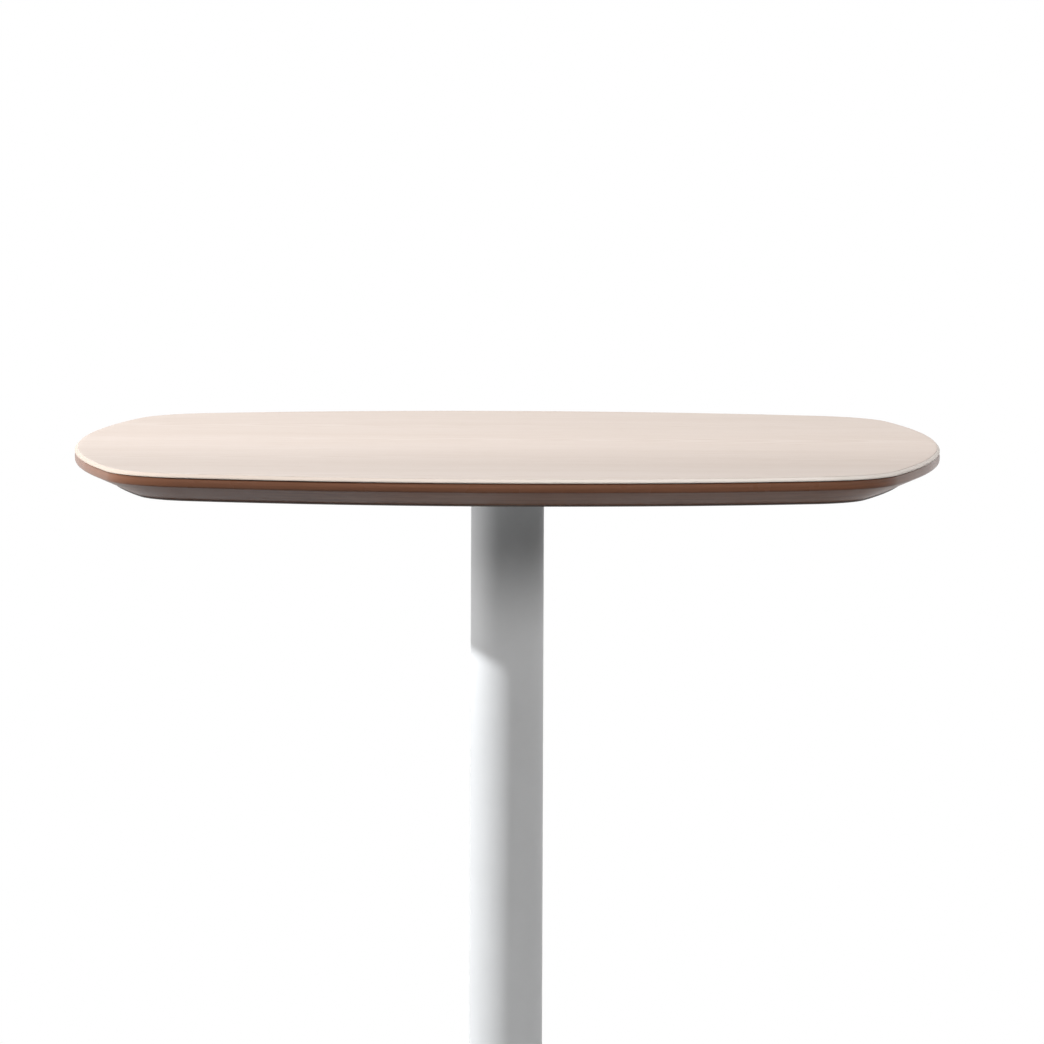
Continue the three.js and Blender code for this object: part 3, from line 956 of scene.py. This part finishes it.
def makeFloorPaper():
    material = bpy.data.materials.new("studioFloorPaper")
    material.use_nodes = True
    tree = material.node_tree
    tree.nodes.clear()
    coords = addNode(tree, "ShaderNodeTexCoord").outputs["Object"]
    distance = addNode(tree, "ShaderNodeVectorMath", operation="LENGTH")
    tree.links.new(coords, distance.inputs[0])
    reach = distance.outputs["Value"]
    seen = seenDirectly(tree)
    paper = noise(tree, coords, studio["paperGrain"], detail=4.0, roughness=0.6)
    shade = grey(studio["floorSeen"] * studio["paperShade"])
    seenTone = mixColors(tree, paper, grey(studio["floorSeen"]), shade)
    diffuse = addNode(tree, "ShaderNodeBsdfDiffuse")
    tree.links.new(mixColors(tree, seen, grey(studio["floorBounce"]), seenTone), diffuse.inputs["Color"])
    # a glow under the base that no camera ray meets
    inside = mathNode(tree, "LESS_THAN", reach, studio["glowRadius"])
    unseen = mathNode(tree, "SUBTRACT", 1.0, seen)
    glow = addNode(tree, "ShaderNodeEmission")
    tree.links.new(times(tree, times(tree, inside, unseen), studio["glow"]), glow.inputs["Strength"])
    paperGlow = addNode(tree, "ShaderNodeAddShader")
    tree.links.new(diffuse.outputs[0], paperGlow.inputs[0])
    tree.links.new(glow.outputs[0], paperGlow.inputs[1])
    white = addNode(tree, "ShaderNodeEmission")
    white.inputs["Color"].default_value = grey(1.0)
    fade = remap(tree, reach, studio["fadeFrom"], studio["fadeTo"], smooth=True)
    faded = mixShaders(tree, times(tree, fade, seen), paperGlow.outputs[0], white.outputs[0])
    clear = addNode(tree, "ShaderNodeBsdfTransparent")  # seen from below, the floor is out of the way
    back = addNode(tree, "ShaderNodeNewGeometry").outputs["Backfacing"]
    surface = mixShaders(tree, times(tree, back, seen), faded, clear.outputs[0])
    output = addNode(tree, "ShaderNodeOutputMaterial")
    tree.links.new(surface, output.inputs["Surface"])
    return material


def makeFloor():
    bm = bmesh.new()
    bmesh.ops.create_circle(bm, cap_ends=True, radius=studio["floorRadius"],
                            segments=studio["floorSegments"])
    mesh = bpy.data.meshes.new("studioFloor")
    bm.to_mesh(mesh)
    bm.free()
    mesh.materials.append(makeFloorPaper())
    floor = bpy.data.objects.new("studioFloor", mesh)
    scene.collection.objects.link(floor)


def makeWorld():
    world = bpy.data.worlds.new("studioSky")
    world.use_nodes = True
    tree = world.node_tree
    sky = tree.nodes["Background"]
    sky.inputs["Color"].default_value = grey(1.0)
    rise = splitAxes(tree, addNode(tree, "ShaderNodeTexCoord").outputs["Generated"])["Z"]
    upper = remap(tree, rise, *studio["bandHead"], studio["horizon"], studio["overhead"], smooth=True)
    light = remap(tree, rise, *studio["bandFoot"], studio["underfoot"], upper, smooth=True)
    toWhite = times(tree, seenDirectly(tree), mathNode(tree, "SUBTRACT", 1.0, light))
    tree.links.new(addUp(tree, light, toWhite), sky.inputs["Strength"])
    scene.world = world


makeFloor()
makeWorld()


# lamps: a small key from the left, a narrow low beam beside it, and soft boxes above and behind
lamps = {
    "key": {"azimuth": 264, "elevation": 23.3, "distance": 4.5, "size": 0.13, "power": 194.0,
            "color": (0.955, 0.98, 1.0), "inReflections": False},
    "leftBeam": {"azimuth": 280, "elevation": -12, "distance": 2.0, "size": 0.15, "power": 0.07,
                 "aimZ": 0.975, "spread": 12},
    "topBox": {"azimuth": 190, "elevation": 60, "distance": 3.2, "size": 1.3, "power": 49.0},
    "backBox": {"azimuth": 335, "elevation": 38, "distance": 2.2, "size": 0.9, "power": 3.0},
}


def makeLamps():
    for name, lamp in lamps.items():
        azimuth, elevation = math.radians(lamp["azimuth"]), math.radians(lamp["elevation"])
        away = Vector((math.sin(azimuth) * math.cos(elevation), math.cos(azimuth) * math.cos(elevation),
                       math.sin(elevation)))
        data = bpy.data.lights.new(name, "AREA")
        data.shape = "DISK"
        data.size = lamp["size"]
        data.energy = lamp["power"]
        data.color = lamp.get("color", (1.0, 1.0, 1.0))
        data.spread = math.radians(lamp.get("spread", 180))
        lampObject = bpy.data.objects.new(name, data)
        lampObject.location = Vector((0, 0, lamp.get("aimZ", topHigh.z))) + away * lamp["distance"]
        lampObject.rotation_euler = away.to_track_quat("Z", "Y").to_euler()
        lampObject.visible_glossy = lamp.get("inReflections", True)
        scene.collection.objects.link(lampObject)


makeLamps()


# camera: a long lens from far off, a little to the right and above the top
cameraSet = {
    "distance": 12.0,
    "height": 0.95514,      # above the table's surface
    "swing": 0.01688,       # round the table, radians to the right
    "pan": -0.00126,
    "tilt": 0.08620,
    "roll": 0.00357,
    "lens": 398.20,
    "sensor": 36.0,
    "clipStart": 0.5,
    "clipEnd": 100.0,
}


def makeCamera():
    setup = cameraSet
    data = bpy.data.cameras.new("photoCamera")
    data.sensor_width = setup["sensor"]
    data.lens = setup["lens"]
    data.clip_start = setup["clipStart"]
    data.clip_end = setup["clipEnd"]
    camera = bpy.data.objects.new("photoCamera", data)
    swing = setup["swing"]
    camera.location = (setup["distance"] * math.sin(swing), -setup["distance"] * math.cos(swing),
                       topHigh.z + setup["height"])
    heading = Euler((math.pi / 2 - setup["tilt"], 0, swing + setup["pan"])).to_matrix()
    camera.rotation_euler = (heading @ Matrix.Rotation(setup["roll"], 3, "Z")).to_euler()
    scene.collection.objects.link(camera)
    scene.camera = camera


makeCamera()
scene.view_settings.view_transform = "Standard"
print("studio ready")
